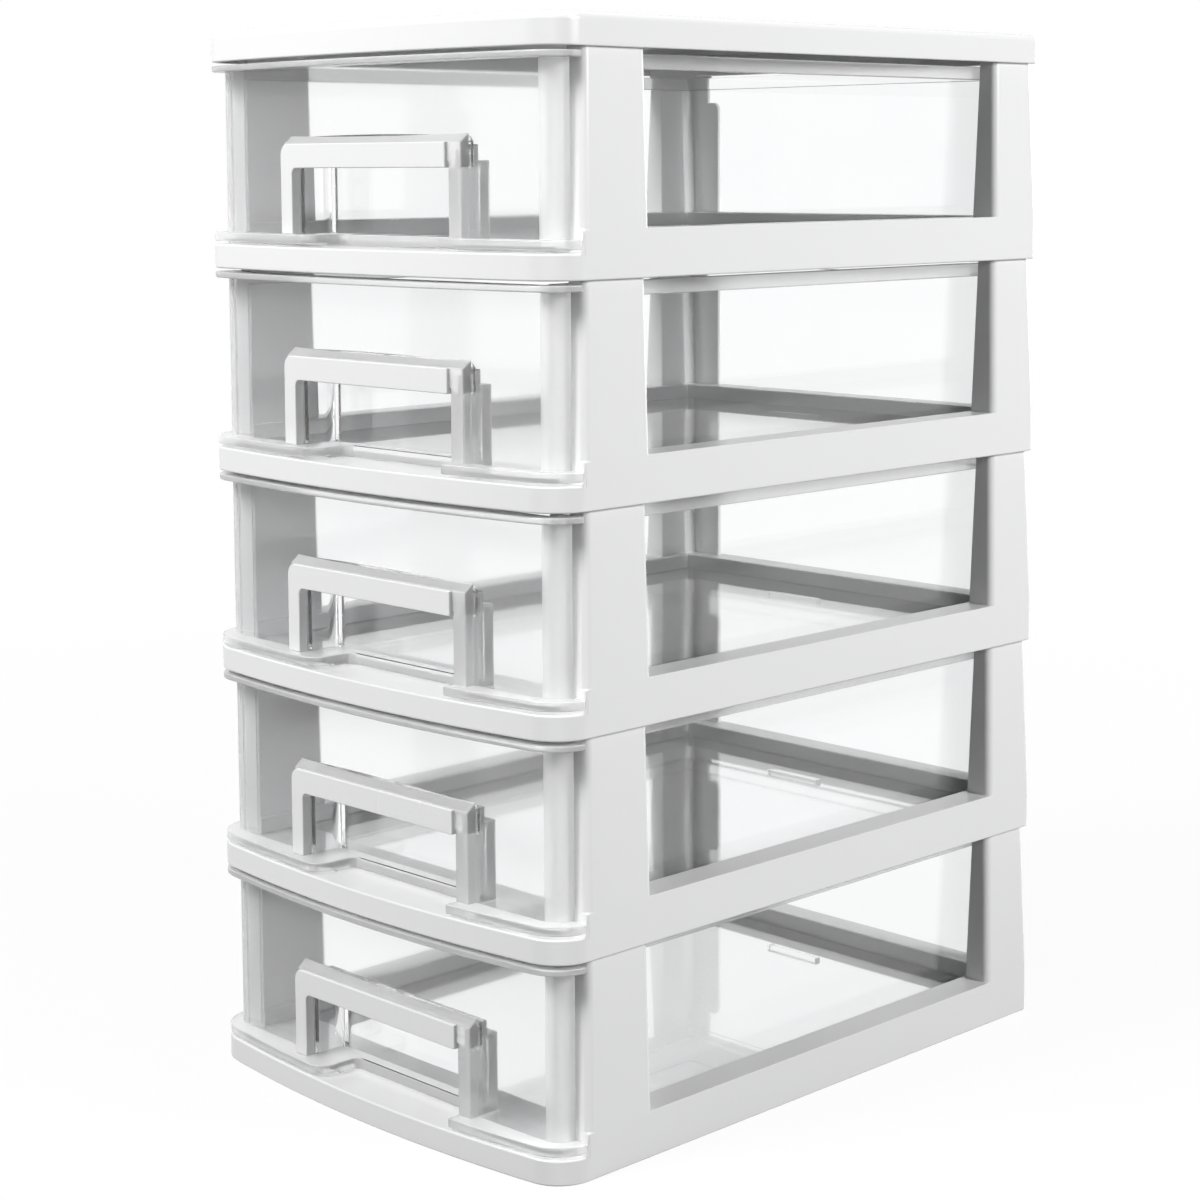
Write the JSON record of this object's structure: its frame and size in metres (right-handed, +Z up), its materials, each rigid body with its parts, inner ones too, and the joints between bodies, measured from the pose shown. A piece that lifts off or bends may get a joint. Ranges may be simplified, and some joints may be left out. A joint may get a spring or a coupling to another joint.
{
  "type": "drawer tower",
  "caption": "Desktop drawer tower of stacked white plastic frames with clear sliding drawers, bowed fronts and open sides.",
  "frame": {"origin": "middle of the base, on the surface that the tower stands on", "axes": "+Z up, the drawers open towards -Y, +X to the right as the front is seen"},
  "size_m": [0.172, 0.24, 0.35],
  "materials": {
    "white_plastic": "smooth satin gloss, opaque white",
    "clear_plastic": "clear, glossy, with frosted rims and arch",
    "grip_plastic": "smooth gloss, opaque white"
  },
  "bodies": {
    "root": {"top_cover": "white_plastic", "frame_1": "white_plastic", "frame_2": "white_plastic", "frame_3": "white_plastic", "frame_4": "white_plastic", "frame_5": "white_plastic"},
    "drawer_1_body": {"drawer_1": "clear_plastic", "grip_1": "grip_plastic"},
    "drawer_2_body": {"drawer_2": "clear_plastic", "grip_2": "grip_plastic"},
    "drawer_3_body": {"drawer_3": "clear_plastic", "grip_3": "grip_plastic"},
    "drawer_4_body": {"drawer_4": "clear_plastic", "grip_4": "grip_plastic"},
    "drawer_5_body": {"drawer_5": "clear_plastic", "grip_5": "grip_plastic"}
  },
  "joints": [
    {"name": "drawer_1_slide", "type": "slide", "parent": "root", "child": "drawer_1_body", "axis": [0, -1, 0], "range_m": [0, 0.17]},
    {"name": "drawer_2_slide", "type": "slide", "parent": "root", "child": "drawer_2_body", "axis": [0, -1, 0], "range_m": [0, 0.17]},
    {"name": "drawer_3_slide", "type": "slide", "parent": "root", "child": "drawer_3_body", "axis": [0, -1, 0], "range_m": [0, 0.17]},
    {"name": "drawer_4_slide", "type": "slide", "parent": "root", "child": "drawer_4_body", "axis": [0, -1, 0], "range_m": [0, 0.17]},
    {"name": "drawer_5_slide", "type": "slide", "parent": "root", "child": "drawer_5_body", "axis": [0, -1, 0], "range_m": [0, 0.17]}
  ]
}
